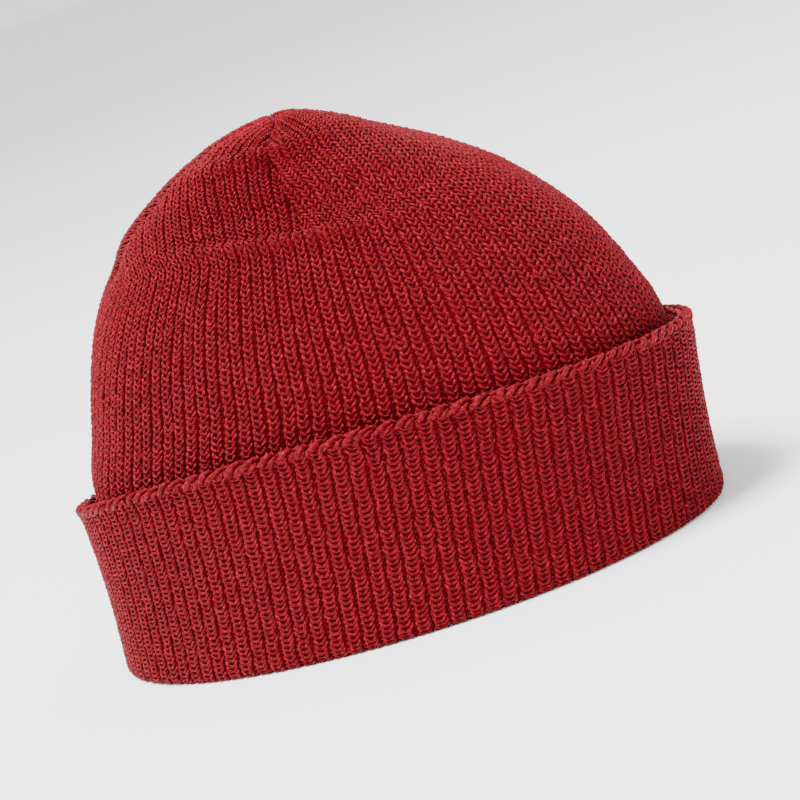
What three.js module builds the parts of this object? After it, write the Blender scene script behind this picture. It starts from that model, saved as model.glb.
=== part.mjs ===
import * as THREE from 'three';
import { mergeVertices } from 'three/addons/utils/BufferGeometryUtils.js';

// A knit cap with a turned-up cuff, in millimetres: +Z up, front towards -Y, fold on z = 0.
// One tube of thick rib is folded up at the bottom and closed on top by four darts.
// A place on the cloth is given by its share of the way round (0 at the front, then +X,
// back and -X) and by its share of the way up.

// Crown, measured outside where it comes out of the cuff
const crownLength = 205;
const crownBreadth = 142;
const capHeight = 165.8;
const crownWall = 3.4;

// Cuff: turned up by hand, so its edge stands higher at both sides than at the ends, and
// higher on the -X side than on the other, with a slow wave three times round the hat. It
// widens from the fold, and leans forward.
const cuffHeight = 62.2;
const cuffWall = 3.4;
const cuffStandOff = 4;
const cuffSideLift = 2.4;
const cuffTilt = 5;
const cuffWave = 0.8;
const cuffTaper = 1.5;
const cuffLean = 5.4;
const cuffWaist = 0.9;
const cuffRibTurn = 0.009;

// Knitted edge that finishes the cuff, and the fold it is turned up at
const hemThickness = 4.6;
const hemHeight = 7;
const layerGap = 0.4;
const foldWidth = crownWall + layerGap + cuffWall;
const foldFlat = 2;

// Ribs, and the darts that take them in towards the tip
const ribCount = 100;
const ribRelief = 1.5;
const dartCount = 4;
const dartSeamPlace = 0.773;
const dartStart = 0.66;
const ribsLeftAtTip = 0.22;
const dartHold = 0.7;
const seamDepth = 2.4;
const seamWidth = 5;
const seamFade = 0.045;
const tipDimple = 5;
const crowdedRise = 0.9;
const tipNarrowing = 0.05;

// Puckers: how far the cloth moves in or out at full strength
const puckerDepth = 3;

// Mesh: how coarse the smooth inner faces are against the ribs outside
const liningStep = 5;
const cuffLiningStep = 2;
const outlineSamples = 720;

// Crown from the cuff's edge (rise 0) to the tip (rise 1). length and breadth are shares of
// the crown's own. lean is how far the section sits forward as a share of the length, side is
// how far it sits towards -X as a share of the breadth, and turn is how far the ribs have wound
// round, as a share of the round.
const crownProfile = [
  { rise: 0.00, length: 1.000, breadth: 1.000, lean: 0.0125, side: 0.000, turn: 0.000 },
  { rise: 0.20, length: 0.938, breadth: 0.965, lean: 0.0145, side: 0.000, turn: 0.005 },
  { rise: 0.38, length: 0.859, breadth: 0.935, lean: 0.0105, side: 0.000, turn: 0.012 },
  { rise: 0.52, length: 0.770, breadth: 0.880, lean: 0.0010, side: 0.000, turn: 0.022 },
  { rise: 0.64, length: 0.667, breadth: 0.805, lean: -0.0075, side: 0.000, turn: 0.033 },
  { rise: 0.75, length: 0.547, breadth: 0.680, lean: -0.0215, side: 0.006, turn: 0.042 },
  { rise: 0.85, length: 0.385, breadth: 0.545, lean: -0.0200, side: 0.030, turn: 0.052 },
  { rise: 0.93, length: 0.235, breadth: 0.395, lean: -0.0030, side: 0.060, turn: 0.060 },
  { rise: 0.98, length: 0.105, breadth: 0.190, lean: 0.0220, side: 0.095, turn: 0.064 },
  { rise: 1.00, length: 0.000, breadth: 0.000, lean: 0.0450, side: 0.115, turn: 0.066 },
];

// Heights of the crown's rings, as rises, and the smooth rings inside it
const crownRings = [0, 0.1, 0.2, 0.3, 0.4, 0.5, 0.58, 0.64, 0.68, 0.72, 0.76, 0.81, 0.86, 0.9, 0.94, 0.975];
const innerRings = [0.95, 0.9, 0.83, 0.77, 0.72, 0.66, 0.5, 0.3, 0.1];

// Puckers of the crown. ribs counts from the near dart seam, forward being positive; wide and
// tall are how far the pucker reaches, in ribs and in rise, and slant is how much its rise changes
// from one rib to the next. push is a share of the pucker depth: hollows are positive.
const puckers = [
  { name: 'ledge under the dart', ribs: -3, wide: 9, rise: 0.655, tall: 0.028, slant: -0.0045, push: -0.7 },
  { name: 'hollow over the ledge', ribs: -3, wide: 12, rise: 0.745, tall: 0.045, slant: -0.0045, push: 1.0 },
  { name: 'ridge before the tip', ribs: -3, wide: 14, rise: 0.905, tall: 0.030, slant: 0, push: -0.8 },
  { name: 'hollow before the tip', ribs: 0, wide: 14, rise: 0.985, tall: 0.035, slant: 0, push: 1.0 },
  { name: 'ridge by the seam', ribs: 8, wide: 4, rise: 0.780, tall: 0.040, slant: -0.0045, push: -0.3 },
  { name: 'hollow behind the tip', ribs: -26, wide: 5, rise: 0.700, tall: 0.050, slant: 0, push: 0.4 },
];

const columnCount = 2 * ribCount;

function smooth(from, to, value) {
  return THREE.MathUtils.smoothstep(value, from, to);
}

// Column of a table as a smooth function of its first column
function tableCurve(rows, key, column) {
  const places = rows.map((row) => row[key]);
  const values = rows.map((row) => row[column]);
  const curve = new THREE.CubicInterpolant(places, values, 1);
  return (place) => curve.evaluate(THREE.MathUtils.clamp(place, places[0], places.at(-1)))[0];
}

const lengthAt = tableCurve(crownProfile, 'rise', 'length');
const breadthAt = tableCurve(crownProfile, 'rise', 'breadth');
const leanAt = tableCurve(crownProfile, 'rise', 'lean');
const sideAt = tableCurve(crownProfile, 'rise', 'side');
const turnAt = tableCurve(crownProfile, 'rise', 'turn');

// Angle round the crown's oval at a share of its length, by adding up short chords
const ovalShares = (() => {
  const shares = [0];
  const from = new THREE.Vector2();
  const to = new THREE.Vector2();
  for (let i = 0; i < outlineSamples; i += 1) {
    const angle = (i / outlineSamples) * 2 * Math.PI;
    const next = ((i + 1) / outlineSamples) * 2 * Math.PI;
    from.set(crownBreadth * Math.sin(angle), crownLength * Math.cos(angle));
    to.set(crownBreadth * Math.sin(next), crownLength * Math.cos(next));
    shares.push(shares[i] + from.distanceTo(to));
  }
  return shares.map((length) => length / shares[outlineSamples]);
})();

function angleAt(share) {
  const turns = Math.floor(share);
  const rest = share - turns;
  let upper = 1;
  while (ovalShares[upper] < rest) upper += 1;
  const span = ovalShares[upper] - ovalShares[upper - 1];
  const place = upper - 1 + (rest - ovalShares[upper - 1]) / span;
  return (turns + place / outlineSamples) * 2 * Math.PI;
}

// Point on an oval ring of the given half sizes, moved forward by forward
function ringPoint(share, halfBreadth, halfLength, forward, z) {
  const angle = angleAt(share);
  return new THREE.Vector3(
    halfBreadth * Math.sin(angle),
    -halfLength * Math.cos(angle) - forward,
    z,
  );
}

// How strongly a pucker works at a place: 1 in its middle and 0 well away from it
function puckerStrength(pucker, share, rise) {
  const away = share - dartSeamPlace - pucker.ribs / ribCount;
  const ribsAway = (away - Math.round(away)) * ribCount;
  const riseAway = rise - pucker.rise - pucker.slant * ribsAway;
  return Math.exp(-((ribsAway / pucker.wide) ** 2) - (riseAway / pucker.tall) ** 2);
}

// Distance round the ring from the nearest dart seam, in millimetres
function seamDistance(share, rise) {
  const cycles = (share - dartSeamPlace) * dartCount;
  const away = Math.abs(cycles - Math.round(cycles)) / dartCount;
  const ringLength = Math.PI * (crownLength * lengthAt(rise) + crownBreadth * breadthAt(rise)) / 2;
  return away * ringLength;
}

// How far the cloth lies inside the smooth dome: seams, then puckers
function dentAt(share, rise) {
  const fade = smooth(dartStart - seamFade, dartStart + seamFade, rise);
  const width = seamWidth * Math.sqrt(Math.max(lengthAt(rise), tipNarrowing));
  const seam = seamDepth * fade * Math.exp(-((seamDistance(share, rise) / width) ** 2));
  const push = puckers.reduce((sum, pucker) => sum + pucker.push * puckerStrength(pucker, share, rise), 0);
  return seam + push * puckerDepth;
}

function domePoint(share, rise) {
  return ringPoint(
    share + turnAt(rise),
    crownBreadth / 2 * breadthAt(rise),
    crownLength / 2 * lengthAt(rise),
    crownLength * leanAt(rise),
    cuffHeight + (capHeight - cuffHeight) * rise,
  ).add(new THREE.Vector3(-crownBreadth * sideAt(rise), 0, 0));
}

// Outward direction of the smooth dome, from two short steps on it
function domeNormal(share, rise) {
  const step = 0.002;
  const upper = Math.min(rise + step, 1 - step);
  const along = domePoint(share + step, rise).sub(domePoint(share - step, rise));
  const up = domePoint(share, upper).sub(domePoint(share, rise - step));
  return along.cross(up).normalize();
}

function crownPoint(share, rise, depth) {
  return domePoint(share, rise).addScaledVector(domeNormal(share, rise), -depth - dentAt(share, rise));
}

// The tip, where the four seams meet in a small dimple
function crownTip(depth) {
  const tip = domePoint(dartSeamPlace, 1);
  return tip.setZ(tip.z - tipDimple - depth);
}

// The darts: a rib keeps its place in its gore until the seam reaches it. Two of the seams take
// in few ribs, so the ribs lie nearly along them; each gore holds on to its edge at one of these.
function goreShare(column, rise) {
  const gore = Math.floor((column * dartCount) / columnCount);
  const place = (2 * (column * dartCount)) / columnCount - 2 * gore - 1;
  const kept = 1 - (1 - ribsLeftAtTip) * Math.max(0, (rise - dartStart) / (1 - dartStart));
  const hold = gore % 2 === 0 ? -dartHold : dartHold;
  const spread = THREE.MathUtils.clamp(hold + (place - hold) / kept, -1, 1);
  return {
    share: dartSeamPlace + (gore + (1 + spread) / 2) / dartCount,
    inSeam: Math.abs(spread) === 1 && rise > dartStart,
  };
}

// A solid is a run of rings, each sewn to the next; a ring may have fewer points than the last
class Rings {
  constructor() {
    this.points = [];
    this.triangles = [];
  }

  ring(count, pointAt) {
    const first = this.points.length;
    for (let i = 0; i < count; i += 1) this.points.push(pointAt(i));
    return { first, count };
  }

  triangle(a, b, c) {
    const [p, q, r] = [a, b, c].map((index) => this.points[index]);
    const tiny = 1e-4;
    if (p.distanceTo(q) < tiny || q.distanceTo(r) < tiny || r.distanceTo(p) < tiny) return;
    this.triangles.push(a, b, c);
  }

  sew(lower, upper) {
    const count = Math.max(lower.count, upper.count);
    const lowerStep = count / lower.count;
    const upperStep = count / upper.count;
    const at = (ring, step, i) => ring.first + (Math.round(i / step) % ring.count);
    for (let i = 0; i < count; i += 1) {
      const [a, b] = [at(lower, lowerStep, i), at(lower, lowerStep, i + 1)];
      const [c, d] = [at(upper, upperStep, i + 1), at(upper, upperStep, i)];
      if (a !== b) this.triangle(a, b, c === d || lowerStep === 1 ? d : c);
      if (c !== d) this.triangle(lowerStep === 1 ? b : a, c, d);
    }
  }

  sewAll(rings) {
    rings.slice(1).forEach((ring, i) => this.sew(rings[i], ring));
  }

  close(ring, tip, tipAbove) {
    const top = this.points.push(tip) - 1;
    for (let i = 0; i < ring.count; i += 1) {
      const [a, b] = [ring.first + i, ring.first + (i + 1) % ring.count];
      if (tipAbove) this.triangle(a, b, top);
      else this.triangle(b, a, top);
    }
  }

  geometry() {
    const loose = new THREE.BufferGeometry();
    const numbers = this.points.flatMap((point) => point.toArray());
    loose.setAttribute('position', new THREE.Float32BufferAttribute(numbers, 3));
    loose.setIndex(this.triangles);
    return mergeVertices(loose, 1e-3);
  }
}

// Groove between two ribs on the even columns, crest of a rib on the odd ones
function grooveDepth(column) {
  return column % 2 === 0 ? ribRelief : 0;
}

// The ribs flatten out where they crowd together round the tip
function crownGroove(column, rise) {
  return grooveDepth(column) * (1 - smooth(crowdedRise, 1, rise));
}

// The crown's hidden tube inside the cuff: at its foot it lies against the cuff's wall
const footHalfLength = crownLength / 2 + cuffStandOff + cuffWall - cuffTaper;
const footHalfBreadth = crownBreadth / 2 + cuffStandOff + cuffWall - cuffTaper;
const crownForward = crownLength * leanAt(0);
const footForward = crownForward - cuffLean;

function tubeFootPoint(share, depth) {
  const inset = cuffWall + layerGap + depth;
  const z = foldWidth + layerGap;
  return ringPoint(share, footHalfBreadth - inset, footHalfLength - inset, footForward, z);
}

function makeCrown() {
  const solid = new Rings();
  const outer = [
    solid.ring(columnCount, (i) => tubeFootPoint(dartSeamPlace + i / columnCount, grooveDepth(i))),
    ...crownRings.map((rise) => solid.ring(columnCount, (i) => {
      const { share, inSeam } = goreShare(i, rise);
      return crownPoint(share, rise, crownGroove(inSeam ? 0 : i, rise));
    })),
  ];
  solid.sewAll(outer);
  solid.close(outer.at(-1), crownTip(0), true);

  const innerCount = columnCount / liningStep;
  const inner = [
    ...innerRings.map((rise) => solid.ring(innerCount, (i) => (
      crownPoint(dartSeamPlace + i / innerCount, rise, crownWall)))),
    solid.ring(innerCount, (i) => tubeFootPoint(dartSeamPlace + i / innerCount, crownWall)),
  ];
  solid.close(inner[0], crownTip(crownWall), false);
  solid.sewAll(inner);
  solid.sew(inner.at(-1), outer[0]);
  return solid.geometry();
}

// Cuff: half sizes and forward shift at a share of the way up from the fold to the hem
function cuffPoint(share, up, inset, z) {
  const widen = cuffTaper * up - inset;
  return ringPoint(
    share + cuffRibTurn * up,
    footHalfBreadth + widen,
    footHalfLength + widen,
    footForward + cuffLean * up,
    z,
  );
}

// Height of the cuff's edge, round the hat
function cuffTop(share) {
  const angle = angleAt(share);
  const wave = cuffWave * Math.cos(3 * angle);
  return cuffHeight - cuffSideLift * Math.cos(2 * angle) - cuffTilt * Math.sin(angle) + wave;
}

function makeCuff() {
  const solid = new Rings();
  const hemRadius = hemThickness / 2;
  const [outerSide, innerSide] = [1, -1];
  const shareOf = (i, count) => dartSeamPlace + i / count;

  // one ring of the cuff; relief is how much of the rib shows there
  const level = (count, up, inset, heightAt, relief) => solid.ring(count, (i) => {
    const share = shareOf(i, count);
    const groove = count === columnCount ? grooveDepth(i) * relief : 0;
    return cuffPoint(share, up, inset + groove, heightAt(share));
  });
  // the fold is two quarter rounds, outer and inner, with the flat that rests between them
  const foldRing = (count, side, degrees, relief) => {
    const angle = THREE.MathUtils.degToRad(degrees);
    const round = (foldWidth - foldFlat) / 2;
    const inset = foldWidth / 2 - side * (foldFlat / 2 + round * Math.cos(angle));
    return level(count, 0, inset, () => round * (1 - Math.sin(angle)), relief);
  };
  const wallRing = (count, up, inset, relief) => level(
    count, up, inset, (share) => THREE.MathUtils.lerp(foldWidth, cuffTop(share) - hemHeight, up), relief);
  const hemRing = (count, degrees, relief) => {
    const angle = THREE.MathUtils.degToRad(degrees);
    const inset = cuffWall - hemRadius - hemRadius * Math.cos(angle);
    const z = hemRadius * (Math.sin(angle) - 1);
    return level(count, 1, inset, (share) => cuffTop(share) + z, relief);
  };

  const outside = [
    foldRing(columnCount, outerSide, 90, 0),
    foldRing(columnCount, outerSide, 40, 1),
    wallRing(columnCount, 0, 0, 1),
    wallRing(columnCount, 0.5, cuffWaist, 1),
    wallRing(columnCount, 1, 0, 1),
    hemRing(columnCount, 0, 0.8),
    hemRing(columnCount, 55, 0.6),
    hemRing(columnCount, 125, 0.4),
  ];
  const liningCount = columnCount / cuffLiningStep;
  const inside = [
    hemRing(liningCount, 180, 0),
    wallRing(liningCount, 1, cuffWall, 0),
    wallRing(liningCount, 0, cuffWall, 0),
    level(liningCount, 0, foldWidth, () => foldWidth, 0),
    foldRing(liningCount, innerSide, 40, 0),
    foldRing(liningCount, innerSide, 90, 0),
  ];
  solid.sewAll([...outside, ...inside]);
  solid.sew(inside.at(-1), outside[0]);
  return solid.geometry();
}

const redWool = { color: 0x87201f, roughness: 0.95, metalness: 0 };

function piece(name, geometry) {
  const wool = new THREE.MeshStandardMaterial({ ...redWool, name: `${name} wool` });
  const mesh = new THREE.Mesh(geometry, wool);
  mesh.name = name;
  return mesh;
}

const cap = new THREE.Group();
cap.add(piece('crown', makeCrown()), piece('cuff', makeCuff()));

// The origin is the middle of the cap's footprint
const middle = new THREE.Box3().setFromObject(cap).getCenter(new THREE.Vector3());
cap.children.forEach((mesh) => mesh.geometry.translate(-middle.x, -middle.y, 0));
cap.updateMatrixWorld(true);

export default cap;
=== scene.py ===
import math

import bpy
import numpy as np
from mathutils import Matrix, Vector


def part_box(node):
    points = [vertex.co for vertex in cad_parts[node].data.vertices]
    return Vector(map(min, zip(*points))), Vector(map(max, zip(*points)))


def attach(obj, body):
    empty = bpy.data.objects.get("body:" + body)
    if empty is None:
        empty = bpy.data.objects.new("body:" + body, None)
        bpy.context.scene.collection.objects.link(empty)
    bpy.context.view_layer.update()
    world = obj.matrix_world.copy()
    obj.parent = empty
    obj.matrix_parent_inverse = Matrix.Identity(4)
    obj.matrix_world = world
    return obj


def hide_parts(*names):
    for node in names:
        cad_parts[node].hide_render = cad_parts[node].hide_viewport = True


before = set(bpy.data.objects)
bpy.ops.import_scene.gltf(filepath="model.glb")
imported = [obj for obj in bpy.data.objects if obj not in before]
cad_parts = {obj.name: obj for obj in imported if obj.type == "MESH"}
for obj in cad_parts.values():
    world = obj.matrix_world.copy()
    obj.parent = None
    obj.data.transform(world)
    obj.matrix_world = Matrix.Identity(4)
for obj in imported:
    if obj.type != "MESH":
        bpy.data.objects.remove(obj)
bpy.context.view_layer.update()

bpy.ops.object.select_all(action="DESELECT")
print("frame loaded:", sorted(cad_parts))

# The cloth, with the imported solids' own values where they have them: millimetres, counts and shares
cap = {
    "crownLength": 205,
    "crownBreadth": 142,
    "capHeight": 165.8,
    "crownWall": 3.4,
    "cuffHeight": 62.2,
    "cuffWall": 3.4,
    "cuffStandOff": 4,
    "cuffSideLift": 2.4,
    "cuffTilt": 5,
    "cuffWave": 0.8,
    "cuffTaper": 1.5,
    "cuffLean": 5.4,
    "cuffWaist": 0.9,
    "cuffRibTurn": 0.009,
    "hemThickness": 4.6,
    "hemHeight": 7,
    "layerGap": 0.4,
    "foldFlat": 2,
    "ribs": 100,
    "darts": 4,
    "seamPlace": 0.773,
    "dartStart": 0.66,
    "ribsLeftAtTip": 0.22,
    "dartHold": 0.7,     # the rib that runs straight, from its gore's middle 0 to its edge 1
    "gorePlay": 0.1,     # how far a stitch may pass its gore's edge below the darts
    "seamDepth": 2.4,
    "seamWidth": 5,
    "seamFade": 0.045,
    "seamNarrowest": 0.05,
    "tipDimple": 5,
    "puckerDepth": 3,
}
foldWidth = cap["crownWall"] + cap["layerGap"] + cap["cuffWall"]
crownHeight = cap["capHeight"] - cap["cuffHeight"]

# Rise; length and breadth as shares of the crown's; lean forward as a share of its length; shift to
# the near side as a share of its breadth; turn of the ribs
crownProfile = [
    (0.00, 1.000, 1.000, 0.0125, 0.000, 0.000),
    (0.20, 0.938, 0.965, 0.0145, 0.000, 0.005),
    (0.38, 0.859, 0.935, 0.0105, 0.000, 0.012),
    (0.52, 0.770, 0.880, 0.0010, 0.000, 0.022),
    (0.64, 0.667, 0.805, -0.0075, 0.000, 0.033),
    (0.75, 0.547, 0.680, -0.0215, 0.006, 0.042),
    (0.85, 0.385, 0.545, -0.0200, 0.030, 0.052),
    (0.93, 0.235, 0.395, -0.0030, 0.060, 0.060),
    (0.98, 0.105, 0.190, 0.0220, 0.095, 0.064),
    (1.00, 0.000, 0.000, 0.0450, 0.115, 0.066),
]

# Ribs from the near seam, ribs it spans, rise, rise it spans, change of rise per rib, push inwards
puckers = [
    (-3, 9, 0.655, 0.028, -0.0045, -0.7),   # ledge under the dart
    (-3, 12, 0.745, 0.045, -0.0045, 1.0),   # hollow above the ledge
    (-3, 14, 0.905, 0.030, 0, -0.8),        # ridge before the tip
    (0, 14, 0.985, 0.035, 0, 1.0),          # hollow before the tip
    (8, 4, 0.780, 0.040, -0.0045, -0.3),    # ridge ahead of the seam
    (-26, 5, 0.700, 0.050, 0, 0.4),         # hollow behind the tip
]

# Creases in the same columns, sharper than the solids have them
creases = [
    (-4, 10, 0.660, 0.013, -0.0045, -0.55),  # lip of the ledge
    (-4, 10, 0.692, 0.016, -0.0045, 0.50),   # foot of the hollow
    (-5, 10, 0.900, 0.013, 0, -0.30),        # crest before the tip
    (-5, 10, 0.935, 0.016, 0, 0.35),         # drop behind the crest
]


def smoothStep(low, high, value):
    t = np.clip((value - low) / (high - low), 0, 1)
    return t * t * (3 - 2 * t)


# The same smooth curve through a table's column as the solids were made with
def profileCurve(column):
    places = np.array([row[0] for row in crownProfile])
    values = np.array([row[column] for row in crownProfile])
    last = len(places) - 1

    def curve(place):
        place = np.clip(place, places[0], places[-1])
        high = np.clip(np.searchsorted(places, place, side="right"), 1, last)
        low = high - 1
        t0, t1 = places[low], places[high]
        before = np.where(low > 0, low - 1, high)
        after = np.where(high < last, high + 1, low)
        tBefore = np.where(low > 0, places[before], 2 * t0 - t1)
        tAfter = np.where(high < last, places[after], 2 * t1 - t0)
        half = (t1 - t0) / 2
        wBefore = half / (t0 - tBefore)
        wAfter = half / (tAfter - t1)
        p = (place - t0) / (t1 - t0)
        pp, ppp = p * p, p * p * p
        sBefore = -wBefore * ppp + 2 * wBefore * pp - wBefore * p
        s0 = (1 + wBefore) * ppp + (-1.5 - 2 * wBefore) * pp + (-0.5 + wBefore) * p + 1
        s1 = (-1 - wAfter) * ppp + (1.5 + wAfter) * pp + 0.5 * p
        sAfter = wAfter * ppp - wAfter * pp
        return sBefore * values[before] + s0 * values[low] + s1 * values[high] + sAfter * values[after]

    return curve


lengthAt, breadthAt, leanAt, sideAt, turnAt = [profileCurve(column) for column in (1, 2, 3, 4, 5)]

# Shares of the way round the oval, so that ribs are equally wide all round
ovalAngles = np.linspace(0, 2 * math.pi, 721)
ovalX = cap["crownBreadth"] * np.sin(ovalAngles)
ovalY = cap["crownLength"] * np.cos(ovalAngles)
ovalShares = np.concatenate([[0], np.cumsum(np.hypot(np.diff(ovalX), np.diff(ovalY)))])
ovalShares /= ovalShares[-1]


def angleAt(share):
    turns = np.floor(share)
    return np.interp(share - turns, ovalShares, ovalAngles) + turns * 2 * math.pi


def ringPoint(share, halfBreadth, halfLength, forward, z):
    angle = angleAt(share)
    x = halfBreadth * np.sin(angle)
    y = -halfLength * np.cos(angle) - forward
    return np.stack([x, y, z + 0 * x], axis=-1)


def domePoint(share, rise):
    points = ringPoint(
        share + turnAt(rise),
        cap["crownBreadth"] / 2 * breadthAt(rise),
        cap["crownLength"] / 2 * lengthAt(rise),
        cap["crownLength"] * leanAt(rise),
        cap["cuffHeight"] + crownHeight * rise,
    )
    points[..., 0] -= cap["crownBreadth"] * sideAt(rise)
    return points


def domeNormal(share, rise):
    step = 0.002
    along = domePoint(share + step, rise) - domePoint(share - step, rise)
    up = domePoint(share, np.minimum(rise + step, 1 - step)) - domePoint(share, rise - step)
    out = np.cross(along, up)
    return out / np.linalg.norm(out, axis=-1, keepdims=True)


def dentAt(share, rise):
    start = cap["dartStart"]
    fade = smoothStep(start - cap["seamFade"], start + cap["seamFade"], rise)
    cycles = (share - cap["seamPlace"]) * cap["darts"]
    ringLength = math.pi * (cap["crownLength"] * lengthAt(rise) + cap["crownBreadth"] * breadthAt(rise)) / 2
    distance = np.abs(cycles - np.round(cycles)) / cap["darts"] * ringLength
    width = cap["seamWidth"] * np.sqrt(np.maximum(lengthAt(rise), cap["seamNarrowest"]))
    dent = cap["seamDepth"] * fade * np.exp(-((distance / width) ** 2))
    for ribsAway, spanRibs, place, spanRise, slant, push in puckers + creases:
        away = share - cap["seamPlace"] - ribsAway / cap["ribs"]
        away = (away - np.round(away)) * cap["ribs"]
        strength = np.exp(-((away / spanRibs) ** 2) - ((rise - place - slant * away) / spanRise) ** 2)
        dent = dent + push * cap["puckerDepth"] * strength
    return dent


footHalfLength = cap["crownLength"] / 2 + cap["cuffStandOff"] + cap["cuffWall"] - cap["cuffTaper"]
footHalfBreadth = cap["crownBreadth"] / 2 + cap["cuffStandOff"] + cap["cuffWall"] - cap["cuffTaper"]
footForward = cap["crownLength"] * float(leanAt(0)) - cap["cuffLean"]
footRise = (cap["cuffHeight"] - foldWidth - cap["layerGap"]) / crownHeight


# A place on the crown's cloth; below rise 0 it runs down inside the cuff to the fold
def crownPoint(share, rise, depth):
    above = np.maximum(rise, 0)
    dome = domePoint(share, above) - domeNormal(share, above) * (depth + dentAt(share, above))[..., None]
    inset = cap["cuffWall"] + cap["layerGap"] + depth
    foot = ringPoint(
        share,
        footHalfBreadth - inset,
        footHalfLength - inset,
        footForward,
        foldWidth + cap["layerGap"],
    )
    down = np.clip(-rise / footRise, 0, 1)[..., None]
    return dome * (1 - down) + foot * down


# The darts: a rib keeps its place in its gore until the seam reaches it. column counts half ribs.
def goreShare(gore, column, rise):
    place = column * cap["darts"] / cap["ribs"] - 2 * gore - 1
    taken = np.maximum(0, (rise - cap["dartStart"]) / (1 - cap["dartStart"]))
    kept = 1 - (1 - cap["ribsLeftAtTip"]) * taken
    edge = np.where(taken > 0, 1, 1 + cap["gorePlay"])
    hold = cap["dartHold"] * (2 * (gore % 2) - 1)
    spread = hold + (place - hold) / kept
    return cap["seamPlace"] + (gore + (1 + np.clip(spread, -edge, edge)) / 2) / cap["darts"], spread


def cuffTop(share):
    angle = angleAt(share)
    tilt = cap["cuffTilt"] * np.sin(angle)
    wave = cap["cuffWave"] * np.cos(3 * angle)
    return cap["cuffHeight"] - cap["cuffSideLift"] * np.cos(2 * angle) - tilt + wave


# The cuff's section, from the middle of the fold's underside, up the outside, over the edge and
# down inside. way is in millimetres along it, and below 0 it goes up the fold's inner side; the
# point goes out along the normal by out.
foldRound = (foldWidth - cap["foldFlat"]) / 2
hemRound = cap["hemThickness"] / 2
flatHalf = cap["foldFlat"] / 2
wallHeight = cap["cuffHeight"] - cap["hemHeight"] - foldWidth
wayToWall = flatHalf + foldRound * math.pi / 2
wayToHem = wayToWall + (foldWidth - foldRound) + wallHeight
wayToTop = wayToHem + cap["hemHeight"] - hemRound + hemRound * math.pi / 2
wayToInside = wayToWall + foldWidth - foldRound


def cuffPoint(share, way, out):
    inner = way < 0
    way = np.abs(way)
    wayUp = (way - wayToWall) / (wayToHem - wayToWall)
    up = np.clip(wayUp, 0, 1)
    top = cuffTop(share)
    # the fold: flat, then a quarter round
    flatWay = np.minimum(way, flatHalf)
    turn = np.clip((way - flatHalf) / foldRound, 0, math.pi / 2)
    # the edge: straight, then half a round, then down inside
    straight = cap["hemHeight"] - hemRound
    overWay = way - wayToHem
    over = np.clip((overWay - straight) / hemRound, 0, math.pi)
    inside = np.maximum(0, overWay - straight - hemRound * math.pi)
    inset = foldWidth / 2 - flatWay - foldRound * np.sin(turn) + cap["cuffWaist"] * np.sin(math.pi * up)
    hemBulge = smoothStep(0, straight, overWay) * (cap["hemThickness"] - cap["cuffWall"]) / 2
    inset = inset - hemBulge + hemRound * (1 - np.cos(over))
    lift = np.clip(overWay, 0, straight) + hemRound * np.sin(over) - inside
    z = foldRound * (1 - np.cos(turn)) + up * (top - cap["hemHeight"] - foldRound) + lift
    outward = np.where(way < wayToWall, np.sin(turn), np.cos(over))
    downward = np.where(way < wayToWall, np.cos(turn), -np.sin(over))
    inset = np.where(inner, foldWidth - inset, inset)
    outward = np.where(inner, -outward, outward)
    widen = cap["cuffTaper"] * up - inset + out * outward
    return ringPoint(
        share + cap["cuffRibTurn"] * up,
        footHalfBreadth + widen,
        footHalfLength + widen,
        footForward + cap["cuffLean"] * up,
        z - out * downward,
    )


# The cloth follows the cuff's solid, if packing moved it sideways
ringShares = np.linspace(0, 1, 400, endpoint=False)
cuffWays = np.linspace(0, wayToTop, 60)
cuffReach = cuffPoint(ringShares[:, None], cuffWays[None, :], 0.0).reshape(-1, 3)
packedLow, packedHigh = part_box("cuff")
packedMiddle = (np.array(packedLow) + np.array(packedHigh)) / 2 * 1000
shift = packedMiddle - (cuffReach.min(axis=0) + cuffReach.max(axis=0)) / 2
shift[2] = 0
print("cloth shifted by", shift.round(2), "mm to sit on the frame")


# Yarn is pressed flat where the fold rests, so nothing goes below the surface
def onFrame(points):
    placed = (points + shift) / 1000
    placed[..., 2] = np.maximum(placed[..., 2], 0)
    return placed


# Heights of the crown's knitted rows: equal steps of cloth, on average round the hat
def rowRises(knit):
    shares = ringShares[::8]
    rises = np.linspace(knit["firstRise"], knit["lastRise"], 1200)
    points = crownPoint(shares[:, None], rises[None, :], np.zeros((len(shares), len(rises))))
    steps = np.linalg.norm(np.diff(points, axis=1), axis=-1).mean(axis=0)
    along = np.concatenate([[0], np.cumsum(steps)])
    rows = int(along[-1] / knit["rowHeight"])
    return lambda row: np.interp(row * along[-1] / rows, along, rises), rows


def newMesh(name, points, faces, uv):
    mesh = bpy.data.meshes.new(name)
    corners = faces.shape[1]
    mesh.vertices.add(len(points))
    mesh.vertices.foreach_set("co", points.astype(np.float32).ravel())
    mesh.loops.add(faces.size)
    mesh.loops.foreach_set("vertex_index", faces.astype(np.int32).ravel())
    mesh.polygons.add(len(faces))
    mesh.polygons.foreach_set("loop_start", np.arange(0, faces.size, corners, dtype=np.int32))
    mesh.update(calc_edges=True)
    mesh.uv_layers.new(name="yarn")
    mesh.uv_layers["yarn"].data.foreach_set("uv", uv.astype(np.float32).ravel())
    mesh.validate()
    piece = bpy.data.objects.new(name, mesh)
    bpy.context.scene.collection.objects.link(piece)
    mesh.polygons.foreach_set("use_smooth", np.ones(len(mesh.polygons), bool))
    return piece


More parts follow.
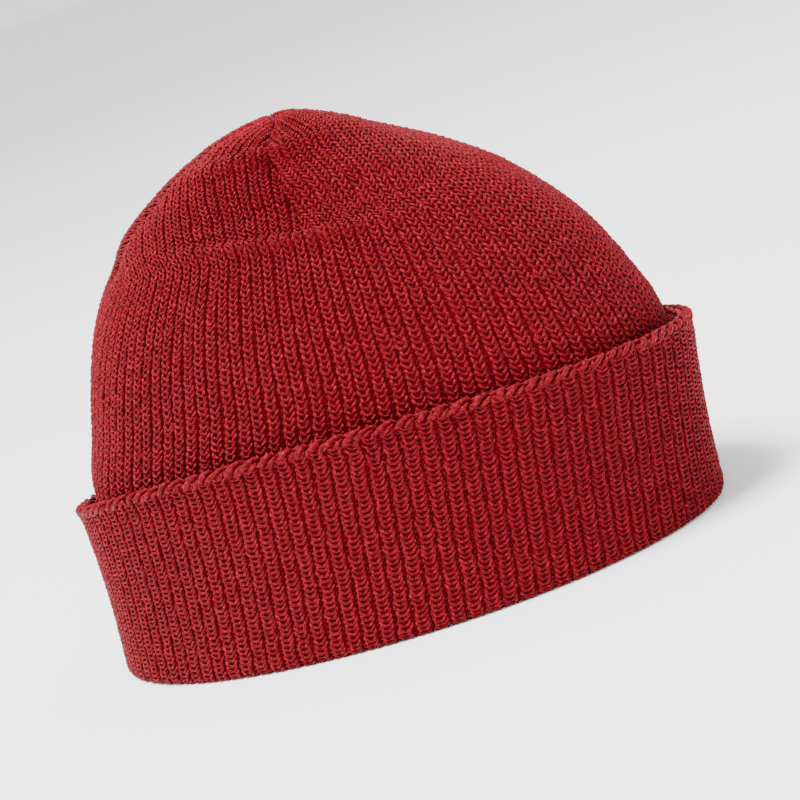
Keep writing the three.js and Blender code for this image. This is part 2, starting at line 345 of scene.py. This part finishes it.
# One stitch: a short tube of yarn along a path of (ribs across, rows up, millimetres out, yarn radius)
def stitchTube(path, sides, rowHeight, pitch):
    path = np.array(path, float)
    line = path[:, :3] * [pitch, rowHeight, 1]
    ahead = np.gradient(line, axis=0)
    ahead /= np.linalg.norm(ahead, axis=1, keepdims=True)
    side = np.cross(ahead, [0, 0, 1.0])
    side /= np.linalg.norm(side, axis=1, keepdims=True)
    top = np.cross(side, ahead)
    around = np.arange(sides) / sides * 2 * math.pi + math.pi / 2
    ring = np.cos(around)[None, :, None] * side[:, None] + np.sin(around)[None, :, None] * top[:, None]
    points = line[:, None] + ring * path[:, 3][:, None, None]
    points = points.reshape(-1, 3) / [pitch, rowHeight, 1]
    count = len(path)
    faces, uv = [], []
    along = np.concatenate([[0], np.cumsum(np.linalg.norm(np.diff(line, axis=0), axis=1))])
    for i in range(count - 1):
        for j in range(sides):
            k = (j + 1) % sides
            faces.append((i * sides + j, i * sides + k, (i + 1) * sides + k, (i + 1) * sides + j))
            uv += [(along[i], j / sides), (along[i], (j + 1) / sides)]
            uv += [(along[i + 1], (j + 1) / sides), (along[i + 1], j / sides)]
    return {"points": points, "faces": np.array(faces), "uv": np.array(uv)}


# Stitch paths: half of each, from the top of its leg to the middle of its loop
crownKnit = {
    "rowHeight": 2.1,
    "firstRise": -0.05,    # just inside the cuff
    "lastRise": 0.996,
    "seeds": (20, 30),     # of the first gore's stitches and purl bumps
    "pitch": 5.2,
    "sides": 5,
    "wander": 0.04,
    "wanderWaves": [(1, 2.1, 9), (0.5, 0.7, -17)],
    "leftSink": 0.12,
    "jitterAcross": 0.02,
    "jitterUp": 0.05,
    "jitterOut": 0.06,
    "leg": [
        (0.27, 1.05, -1.25, 0.44),
        (0.32, 0.55, -0.45, 0.62),
        (0.21, 0.02, -0.32, 0.66),
    ],
    "loop": [(0.00, -0.28, -0.95, 0.56)],
    "purlSides": 4,
    "purl": [
        (0.40, 0.28, -1.85, 0.42),
        (0.50, 0.42, -1.40, 0.48),
        (0.60, 0.28, -1.85, 0.42),
    ],
}

cuffKnit = {
    "rowHeight": 1.5,
    "seeds": (40, 50),     # of the first section's stitches and purl bumps
    "pitch": 5.9,
    "sides": 5,
    "leftSink": 0.10,
    "jitterAcross": 0.02,
    "jitterUp": 0.06,
    "jitterOut": 0.06,
    "lastWay": -2.6,       # millimetres from the very top of the edge
    "leg": [
        (0.31, 1.05, -1.15, 0.40),
        (0.35, 0.66, -0.42, 0.52),
        (0.21, -0.12, -0.26, 0.56),
    ],
    "loop": [(0.00, -0.34, -0.95, 0.48)],
    "purlSides": 4,
    "purl": [
        (0.42, 0.20, -1.60, 0.36),
        (0.50, 0.34, -1.00, 0.42),
        (0.58, 0.20, -1.60, 0.36),
    ],
}

# The finished edge: two fat slanting strokes for each rib, and one behind them over the top.
# Here the second number is millimetres along the cuff from its very top.
hemKnit = {
    "seed": 60,
    "sides": 6,
    "jitterAcross": 0.05,
    "jitterUp": 0.25,
    "jitterOut": 0.14,
    "front": [
        (-0.50, -4.8, -1.20, 0.50),
        (-0.32, -3.9, -0.40, 0.80),
        (-0.06, -2.7, -0.15, 0.92),
        (0.20, -1.4, -0.15, 0.92),
        (0.44, -0.2, -0.40, 0.76),
        (0.60, 0.8, -1.00, 0.50),
    ],
    "under": [
        (0.00, -5.4, -1.30, 0.42),
        (0.20, -4.6, -0.50, 0.68),
        (0.42, -3.4, -0.30, 0.76),
        (0.62, -2.2, -0.80, 0.56),
    ],
    "back": [
        (-0.60, 2.6, -1.10, 0.60),
        (-0.25, 1.9, -0.70, 0.80),
        (0.20, 1.2, -0.60, 0.82),
        (0.60, 0.5, -0.95, 0.62),
    ],
}
hemStrokes = ("front", "under", "back")

# How much one stitch differs from the next
uneven = {
    "most": 2,         # standard deviations
    "size": 0.06,
    "lean": 0.05,
    "yarnShift": 40,   # millimetres along the yarn, so that the plies don't line up
}


def wholeStitch(knit):
    left = [(-u, v, w - knit["leftSink"], r) for u, v, w, r in reversed(knit["leg"])]
    return knit["leg"] + knit["loop"] + left


# Copies one stitch to every place; toCloth turns rib, across, row and out into points
def layStitches(name, stitch, ribs, rows, toCloth, knit, seed):
    chance = np.random.default_rng(seed)
    count = len(ribs)
    spread = chance.normal(size=(5, count, 1)).clip(-uneven["most"], uneven["most"])
    across, up, out = [stitch["points"][:, i][None, :] for i in range(3)]
    size = 1 + uneven["size"] * spread[3]
    across = across * size + spread[0] * knit["jitterAcross"] + uneven["lean"] * spread[4] * up
    up = up * size + spread[1] * knit["jitterUp"]
    out = out + spread[2] * knit["jitterOut"]
    points = toCloth(ribs[:, None], across, rows[:, None] + up, out)
    perStitch = stitch["points"].shape[0]
    faces = stitch["faces"][None] + (np.arange(count) * perStitch)[:, None, None]
    yarnShift = chance.uniform(0, uneven["yarnShift"], count)
    uv = stitch["uv"][None] + np.stack([yarnShift, np.zeros(count)], axis=-1)[:, None]
    return newMesh(name, onFrame(points.reshape(-1, 3)), faces.reshape(-1, 4), uv.reshape(-1, 2))


# Ribs never run quite true: each wanders a little to either side
def wanderAt(rib, rise):
    waves = crownKnit["wanderWaves"]
    return crownKnit["wander"] * sum(
        size * np.sin(perRib * rib + perRise * rise) for size, perRib, perRise in waves
    )


def joinParts(parts):
    for part in parts:
        part.select_set(True)
    bpy.context.view_layer.objects.active = parts[0]
    bpy.ops.object.join()
    parts[0].select_set(False)
    return parts[0]


# The knit stitch and the small bump of the purl rib beside it
def knitTubes(knit):
    stitch = stitchTube(wholeStitch(knit), knit["sides"], knit["rowHeight"], knit["pitch"])
    return stitch, stitchTube(knit["purl"], knit["purlSides"], knit["rowHeight"], knit["pitch"])


# Crown: four gores of stitches
riseOfRow, crownRows = rowRises(crownKnit)
crownStitch, crownPurl = knitTubes(crownKnit)
ribsPerGore = cap["ribs"] // cap["darts"]
stitchSides = (0.3, 1.7)  # half ribs from the left edge of a rib


def knitGore(gore):
    ribs, rows = np.meshgrid(np.arange(ribsPerGore), np.arange(crownRows))
    ribs, rows = (ribs + gore * ribsPerGore).ravel(), rows.ravel().astype(float)
    # a stitch goes where at least one of its sides is still inside the gore
    sides = [np.abs(goreShare(gore, 2 * ribs + side, riseOfRow(rows))[1]) for side in stitchSides]
    keep = np.minimum(*sides) < 1
    ribs, rows = ribs[keep], rows[keep]

    def toCrown(rib, across, row, out):
        rise = riseOfRow(row)
        share, _ = goreShare(gore, 2 * (rib + across + wanderAt(rib, rise)) + 1, rise)
        return crownPoint(share, rise, -out)

    name = f"crown_gore_{gore + 1}"
    stitchSeed, purlSeed = crownKnit["seeds"]
    piece = joinParts([
        layStitches(name, crownStitch, ribs, rows, toCrown, crownKnit, stitchSeed + gore),
        layStitches("purl ribs", crownPurl, ribs, rows, toCrown, crownKnit, purlSeed + gore),
    ])
    print(name, len(ribs), "stitches,", 2 * len(piece.data.polygons), "triangles")
    return piece


crownPieces = [knitGore(gore) for gore in range(cap["darts"])]


# Cuff: four sections of stitches, from inside the fold, round under it and up to the edge, with the
# small bumps of the purl ribs between them, and the strokes of the finished edge
def cuffRib(rib, across, row, out):
    share = cap["seamPlace"] + (rib + across + 0.5) / cap["ribs"]
    return cuffPoint(share, row * cuffKnit["rowHeight"], out)


def hemRib(rib, across, row, out):
    share = cap["seamPlace"] + (rib + across + 0.5) / cap["ribs"]
    return cuffPoint(share, wayToTop + row, out)


cuffStitch, cuffPurl = knitTubes(cuffKnit)
strokes = {part: stitchTube(hemKnit[part], hemKnit["sides"], 1, cuffKnit["pitch"]) for part in hemStrokes}
cuffRows = np.arange(
    math.ceil(-wayToInside / cuffKnit["rowHeight"]),
    int((wayToTop + cuffKnit["lastWay"]) / cuffKnit["rowHeight"]),
)


def knitSection(section):
    edgeRibs = np.arange(ribsPerGore) + section * ribsPerGore
    ribs, rows = np.meshgrid(edgeRibs, cuffRows)
    ribs, rows = ribs.ravel(), rows.ravel().astype(float)
    edge = np.zeros(ribsPerGore)
    name = f"cuff_section_{section + 1}"
    stitchSeed, purlSeed = cuffKnit["seeds"]
    parts = [
        layStitches(name, cuffStitch, ribs, rows, cuffRib, cuffKnit, stitchSeed + section),
        layStitches("purl ribs", cuffPurl, ribs, rows, cuffRib, cuffKnit, purlSeed + section),
    ]
    for part in hemStrokes:
        seed = hemKnit["seed"] + section
        parts.append(layStitches("edge " + part, strokes[part], edgeRibs, edge, hemRib, hemKnit, seed))
    piece = joinParts(parts)
    print(name, len(ribs), "stitches,", 2 * len(piece.data.polygons), "triangles")
    return piece


cuffPieces = [knitSection(section) for section in range(cap["darts"])]


# Ground cloth under the stitches: millimetres below the cloth's face, and counts
shell = {
    "sink": 1.35,
    "relief": 0.9,
    "crownWall": 1.2,
    "overlap": 2,
    "turnOver": 1.5,
    "lastRise": 0.995,
    "perRib": 2,
    "crownRings": 80,
    "cuffRings": 92,
    "mergeReach": 0.00002,   # metres, closes the seam and the tip
}


# A grid bent round the hat and closed. The crown's is given a wall; the cuff's section runs up the
# outside and down the inside again.
def clothShell(name, across, along, pointAt, thickness):
    bpy.ops.mesh.primitive_grid_add(x_subdivisions=across, y_subdivisions=along, size=2, calc_uvs=True)
    piece = bpy.context.object
    piece.name = piece.data.name = name
    piece.data.uv_layers[0].name = "yarn"
    # places on the grid, from 0 to 1 both ways
    flat = np.empty(len(piece.data.vertices) * 3)
    piece.data.vertices.foreach_get("co", flat)
    flat = (flat.reshape(-1, 3) + 1) / 2
    points = onFrame(pointAt(flat[:, 0], flat[:, 1]))
    piece.data.vertices.foreach_set("co", points.astype(np.float32).ravel())
    bpy.ops.object.mode_set(mode="EDIT")
    bpy.ops.mesh.select_all(action="SELECT")
    bpy.ops.mesh.remove_doubles(threshold=shell["mergeReach"])
    bpy.ops.mesh.normals_make_consistent(inside=False)
    bpy.ops.object.mode_set(mode="OBJECT")
    if thickness:
        wall = piece.modifiers.new("wall", "SOLIDIFY")
        wall.thickness = thickness / 1000
        wall.offset = -1
        bpy.ops.object.modifier_apply(modifier=wall.name)
    bpy.ops.object.shade_smooth()
    piece.select_set(False)
    return piece


def ribWave(columns):
    return shell["sink"] + shell["relief"] * (1 + np.cos(columns * 2 * math.pi)) / 2


def crownShellPoint(across, along):
    rise = -footRise + along * (footRise + 1)
    column = across * cap["ribs"]
    gore = np.minimum(np.floor(across * cap["darts"]), cap["darts"] - 1)
    share, _ = goreShare(gore, 2 * column, rise)
    points = crownPoint(share, np.minimum(rise, shell["lastRise"]), ribWave(column))
    tip = domePoint(np.array(cap["seamPlace"]), np.array(1.0))
    tip[2] -= cap["tipDimple"] + shell["sink"]
    lastRing = along > 1 - 0.5 / shell["crownRings"]
    return np.where(lastRing[:, None], tip[None], points)


shellColumns = cap["ribs"] * shell["perRib"]
crownShell = clothShell(
    "crown_ground", shellColumns, shell["crownRings"], crownShellPoint, shell["crownWall"]
)
print("crown_ground", len(crownShell.data.polygons), "faces")


def cuffShellPoint(across, along):
    share = cap["seamPlace"] + across
    way = along * (2 * wayToTop + wayToInside + shell["overlap"]) - wayToInside - shell["overlap"]
    outside = np.minimum(way, wayToTop)
    wave = ribWave(across * cap["ribs"])
    outer = cuffPoint(share, outside, -wave)
    inward = cuffPoint(share, 2 * wayToTop - np.maximum(way, wayToTop), -cap["cuffWall"])
    back = smoothStep(wayToTop - shell["turnOver"], wayToTop + shell["turnOver"], way)[:, None]
    return outer * (1 - back) + inward * back


cuffShell = clothShell("cuff_ground", shellColumns, shell["cuffRings"], cuffShellPoint, 0)
print("cuff_ground", len(cuffShell.data.polygons), "faces")


def newGroup(name, inputs, output):
    group = bpy.data.node_groups.new(name, "ShaderNodeTree")
    for label, kind in inputs:
        group.interface.new_socket(label, in_out="INPUT", socket_type=kind)
    group.interface.new_socket(output[0], in_out="OUTPUT", socket_type=output[1])
    return group, group.nodes.new("NodeGroupInput"), group.nodes.new("NodeGroupOutput")


def mathNode(group, operation, first, second=None):
    node = group.nodes.new("ShaderNodeMath")
    node.operation = operation
    group.links.new(first, node.inputs[0])
    if isinstance(second, (int, float)):
        node.inputs[1].default_value = second
    elif second is not None:
        group.links.new(second, node.inputs[1])
    return node.outputs[0]


# The piece's own UV map: along the yarn and round it, or round the hat and up it
def yarnPlace(group):
    place = group.nodes.new("ShaderNodeUVMap")
    place.uv_map = "yarn"
    split = group.nodes.new("ShaderNodeSeparateXYZ")
    group.links.new(place.outputs["UV"], split.inputs[0])
    return split.outputs["X"], split.outputs["Y"]


# A wave that runs slantwise, by the sum of two places
def slantWave(group, first, second):
    total = mathNode(group, "ADD", first, second)
    turns = mathNode(group, "MULTIPLY", total, 2 * math.pi)
    return mathNode(group, "SINE", turns)


# Yarn: plies twisted round each other
def twistedPliesGroup():
    group, start, end = newGroup(
        "twisted plies",
        [("Plies per mm", "NodeSocketFloat"), ("Plies round", "NodeSocketFloat")],
        ("Height", "NodeSocketFloat"),
    )
    alongYarn, roundYarn = yarnPlace(group)
    along = mathNode(group, "MULTIPLY", alongYarn, start.outputs["Plies per mm"])
    around = mathNode(group, "MULTIPLY", roundYarn, start.outputs["Plies round"])
    group.links.new(slantWave(group, along, around), end.inputs["Height"])
    return group


# The wrong side of the knit, for the ground: a V for each rib and row
def knittedRowsGroup():
    group, start, end = newGroup(
        "knitted rows",
        [("Ribs", "NodeSocketFloat"), ("Rows", "NodeSocketFloat")],
        ("Height", "NodeSocketFloat"),
    )
    roundHat, upHat = yarnPlace(group)
    across = mathNode(group, "MULTIPLY", roundHat, start.outputs["Ribs"])
    fold = mathNode(group, "PINGPONG", across, 0.5)
    up = mathNode(group, "MULTIPLY", upHat, start.outputs["Rows"])
    group.links.new(slantWave(group, fold, up), end.inputs["Height"])
    return group


# Dye that took unevenly: where the noise passes from one shade to the next
dyeSteps = {
    "deepToMid": (0.35, 0.55),
    "midToLight": (0.5, 0.72),
    "detail": 3,
}


def unevenDyeGroup():
    group, start, end = newGroup(
        "uneven dye",
        [(shade, "NodeSocketColor") for shade in ("Deep", "Mid", "Light")] + [("Scale", "NodeSocketFloat")],
        ("Color", "NodeSocketColor"),
    )
    nodes, links = group.nodes, group.links
    place = nodes.new("ShaderNodeTexCoord")
    noise = nodes.new("ShaderNodeTexNoise")
    noise.inputs["Detail"].default_value = dyeSteps["detail"]
    links.new(place.outputs["Object"], noise.inputs["Vector"])
    links.new(start.outputs["Scale"], noise.inputs["Scale"])

    def mixShades(step, darker, lighter):
        reach = nodes.new("ShaderNodeMapRange")
        reach.inputs["From Min"].default_value, reach.inputs["From Max"].default_value = dyeSteps[step]
        links.new(noise.outputs["Fac"], reach.inputs["Value"])
        mix = nodes.new("ShaderNodeMix")
        mix.data_type = "RGBA"
        links.new(reach.outputs[0], mix.inputs["Factor"])
        links.new(darker, mix.inputs["A"])
        links.new(lighter, mix.inputs["B"])
        return mix.outputs["Result"]

    lower = mixShades("deepToMid", start.outputs["Deep"], start.outputs["Mid"])
    links.new(mixShades("midToLight", lower, start.outputs["Light"]), end.inputs["Color"])
    return group


twistedPlies = twistedPliesGroup()
knittedRows = knittedRowsGroup()
unevenDye = unevenDyeGroup()


def woolMaterial(name, look):
    material = bpy.data.materials.new(name)
    material.use_nodes = True
    nodes, links = material.node_tree.nodes, material.node_tree.links
    shader = nodes["Principled BSDF"]
    shader.inputs["Roughness"].default_value = look["roughness"]
    shader.inputs["Specular IOR Level"].default_value = look["specular"]
    shader.inputs["Specular Tint"].default_value = (*look["specularTint"], 1)
    shader.inputs["Sheen Weight"].default_value = look["sheen"]
    shader.inputs["Sheen Roughness"].default_value = look["sheenRoughness"]
    shader.inputs["Sheen Tint"].default_value = (*look["sheenTint"], 1)
    shader.inputs["Subsurface Weight"].default_value = look["glow"]
    shader.inputs["Subsurface Radius"].default_value = look["glowReach"]
    shader.inputs["Subsurface Scale"].default_value = look["glowScale"]
    dye = nodes.new("ShaderNodeGroup")
    dye.node_tree = unevenDye
    for key in ("Deep", "Mid", "Light"):
        dye.inputs[key].default_value = (*look[key.lower()], 1)
    dye.inputs["Scale"].default_value = look["dyeScale"]
    links.new(dye.outputs["Color"], shader.inputs["Base Color"])
    relief = nodes.new("ShaderNodeGroup")
    relief.node_tree = look["relief"]
    for key, value in look["reliefSizes"].items():
        relief.inputs[key].default_value = value
    bump = nodes.new("ShaderNodeBump")
    bump.inputs["Strength"].default_value = look["bump"]
    bump.inputs["Distance"].default_value = look["bumpHeight"]
    links.new(relief.outputs["Height"], bump.inputs["Height"])
    links.new(bump.outputs["Normal"], shader.inputs["Normal"])
    return material


redWool = {
    "deep": (0.075, 0.0010, 0.0034),
    "mid": (0.115, 0.0014, 0.0052),
    "light": (0.225, 0.0042, 0.0120),
    "dyeScale": 900,
    "roughness": 0.5,
    "specular": 0.14,
    "specularTint": (1.0, 0.36, 0.38),
    "sheen": 0.06,
    "sheenRoughness": 0.5,
    "sheenTint": (1.0, 0.30, 0.34),
    "glow": 0.25,
    "glowReach": (1.6, 0.25, 0.25),
    "glowScale": 0.001,
    "relief": twistedPlies,
    "reliefSizes": {"Plies per mm": 0.55, "Plies round": 2},
    "bump": 0.5,
    "bumpHeight": 0.0002,
}

# The ground lies deeper, in the holes between stitches. Its red is painted lighter than the yarn's, as
# painted light that lifts the shade in those holes, and it shines less
groundWool = {
    **redWool,
    # painted light: lighter shades of the yarn's red, so the shaded holes read brighter
    "deep": (0.16, 0.003, 0.008),
    "mid": (0.21, 0.004, 0.0105),
    "light": (0.26, 0.006, 0.013),
    "specular": 0.08,
    "sheen": 0.03,
    "relief": knittedRows,
    "reliefSizes": {"Ribs": cap["ribs"], "Rows": 2 * crownRows},
    "bump": 0.6,
    "bumpHeight": 0.0004,
}
yarn = woolMaterial("red wool yarn", redWool)
ground = woolMaterial("red wool ground", groundWool)
for piece in crownPieces + cuffPieces:
    piece.data.materials.append(yarn)
for piece in (crownShell, cuffShell):
    piece.data.materials.append(ground)
print("two wools on", len(crownPieces + cuffPieces) + 2, "pieces")

for piece in crownPieces + [crownShell]:
    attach(piece, "root")
    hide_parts("crown")
for piece in cuffPieces + [cuffShell]:
    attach(piece, "root")
    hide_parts("cuff")

# Floor, light and camera, in metres
studio = {
    "floorSize": 30,
    "floorColour": (0.92, 0.92, 0.92),
    "floorRoughness": 0.9,
    "world": 1.5,
    "target": (0, 0, 0.08),
    "lightSize": 1.0,
    "keyPlace": (-0.85, 0.55, 2.60),
    "keyPower": 235,
    "fillPlace": (-1.55, -0.70, 0.75),
    "fillPower": 13,
}
bpy.ops.mesh.primitive_plane_add(size=studio["floorSize"], location=(0, 0, 0))
floor = bpy.context.object
floor.name = "floor"
paper = bpy.data.materials.new("pale paper")
paper.use_nodes = True
paperShader = paper.node_tree.nodes["Principled BSDF"]
paperShader.inputs["Base Color"].default_value = (*studio["floorColour"], 1)
paperShader.inputs["Roughness"].default_value = studio["floorRoughness"]
floor.data.materials.append(paper)

world = bpy.data.worlds.new("studio")
bpy.context.scene.world = world
world.use_nodes = True
sky = world.node_tree.nodes["Background"]
sky.inputs["Color"].default_value = (1, 1, 1, 1)
sky.inputs["Strength"].default_value = studio["world"]


def softLight(name, place, power):
    bpy.ops.object.light_add(type="AREA", location=place)
    light = bpy.context.object
    light.name = name
    light.data.size = studio["lightSize"]
    light.data.energy = power
    towards = Vector(studio["target"]) - Vector(place)
    light.rotation_euler = towards.to_track_quat("-Z", "Y").to_euler()


softLight("key", studio["keyPlace"], studio["keyPower"])
softLight("fill", studio["fillPlace"], studio["fillPower"])

# Turns in radians, places in metres, lens and sensor in millimetres
view = {
    "yaw": 0.3348,
    "pitch": 0.1742,
    "roll": 0.3464,
    "distance": 0.980,
    "sideways": 0.0098,
    "height": 0.2321,
    "lens": 133.9,
    "sensor": 36,
    "clip": (0.05, 100),
}
ahead = Vector((math.cos(view["yaw"]), math.sin(view["yaw"]), 0))
right = Vector((math.sin(view["yaw"]), -math.cos(view["yaw"]), 0))
bpy.ops.object.camera_add()
camera = bpy.context.object
camera.data.lens = view["lens"]
camera.data.sensor_width = view["sensor"]
camera.data.clip_start, camera.data.clip_end = view["clip"]
aim = ahead * math.cos(view["pitch"]) - Vector((0, 0, math.sin(view["pitch"])))
upward = right.cross(aim)
turn = Matrix((right, upward, -aim)).transposed() @ Matrix.Rotation(-view["roll"], 3, "Z")
place = right * view["sideways"] - ahead * view["distance"] + Vector((0, 0, view["height"]))
camera.matrix_world = Matrix.Translation(place) @ turn.to_4x4()
bpy.context.scene.camera = camera
print("studio ready")
